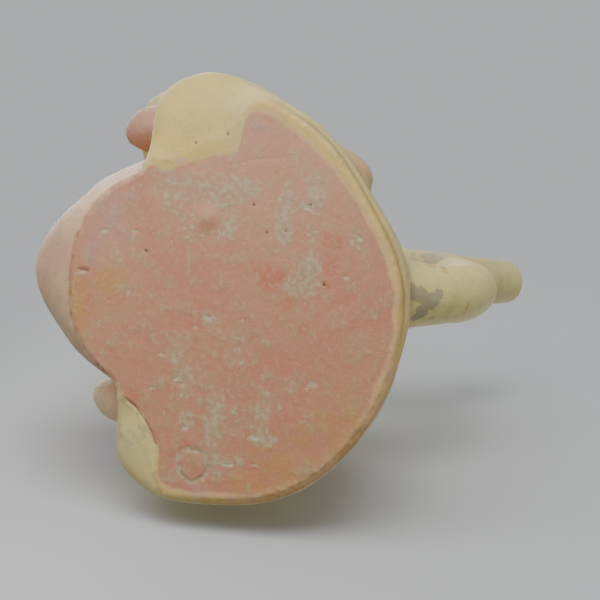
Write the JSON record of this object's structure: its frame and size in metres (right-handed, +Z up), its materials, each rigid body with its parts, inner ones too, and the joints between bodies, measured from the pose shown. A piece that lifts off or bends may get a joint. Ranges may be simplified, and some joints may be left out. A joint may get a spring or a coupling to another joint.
{
  "type": "ceramic head vessel",
  "caption": "Hollow fired-clay vessel shaped as a head in a headcloth, flat underneath, with a stirrup-shaped spout behind the head.",
  "frame": {"origin": "middle of the flat underside, on the axis about which the head is drawn", "axes": "+Z up through the crown, the face looks along -Y, +X is the head's own left, the stirrup and spout are at +Y"},
  "size_m": [0.1458, 0.1796, 0.2103],
  "materials": {
    "slipped_clay": "worn matt pink and cream slip over buff fired clay"
  },
  "bodies": {
    "root": {"head_vessel": "slipped_clay"}
  },
  "joints": []
}
